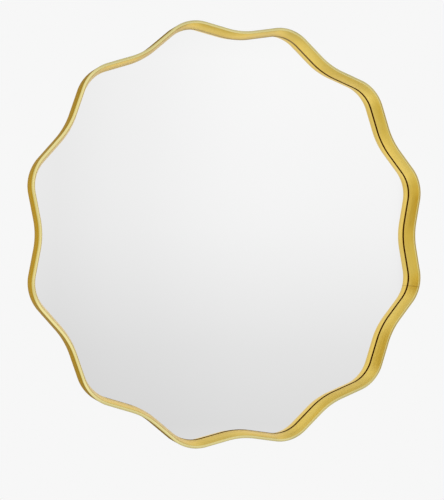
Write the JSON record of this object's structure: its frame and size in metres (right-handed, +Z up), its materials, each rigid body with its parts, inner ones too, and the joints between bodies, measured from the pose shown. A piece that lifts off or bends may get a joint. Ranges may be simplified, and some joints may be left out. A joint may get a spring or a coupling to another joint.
{
  "type": "wall mirror",
  "caption": "Round wall mirror in a deep scalloped gold metal frame, with a screwed backing board and swinging ring hangers.",
  "frame": {"origin": "on the wall plane, which the four bumpers touch, behind the middle of the mirror", "axes": "+Z up as hung, front of the mirror faces -Y, +Y points into the wall, +X to the right as seen from the front"},
  "size_m": [0.7778, 0.0406, 0.7778],
  "materials": {
    "gold_frame": "brushed",
    "mirror": "polished",
    "hardboard": "smooth hardboard",
    "zinc_screws": "zinc plated",
    "lug_steel": "plain",
    "foam_tape": "foam",
    "zinc_strap": "zinc plated",
    "ring_wire": "nickel plated",
    "rivet_alloy": "satin",
    "bumper_rubber": "matt"
  },
  "bodies": {
    "mirror_body": {"frame": "gold_frame", "mirror_glass": "mirror", "backing_board": "hardboard", "board_screws": "zinc_screws", "lug_01": "lug_steel", "lug_02": "lug_steel", "lug_03": "lug_steel", "lug_04": "lug_steel", "lug_05": "lug_steel", "lug_06": "lug_steel", "lug_07": "lug_steel", "lug_08": "lug_steel", "lug_09": "lug_steel", "lug_10": "lug_steel", "lug_11": "lug_steel", "lug_12": "lug_steel", "tape_1": "foam_tape", "tape_2": "foam_tape", "tape_3": "foam_tape", "tape_4": "foam_tape", "strap_left": "zinc_strap", "strap_right": "zinc_strap", "rivets_left": "rivet_alloy", "rivets_right": "rivet_alloy", "bumper_1": "bumper_rubber", "bumper_2": "bumper_rubber", "bumper_3": "bumper_rubber", "bumper_4": "bumper_rubber"},
    "left_ring": {"ring_left": "ring_wire"},
    "right_ring": {"ring_right": "ring_wire"}
  },
  "joints": [
    {"name": "left_ring_hinge", "type": "hinge", "parent": "mirror_body", "child": "left_ring", "pos_m": [-0.19, -0.00345, 0.215], "axis": [1, 0, 0], "range_deg": [0, 176]},
    {"name": "right_ring_hinge", "type": "hinge", "parent": "mirror_body", "child": "right_ring", "pos_m": [0.19, -0.00345, 0.215], "axis": [1, 0, 0], "range_deg": [0, 176]}
  ]
}
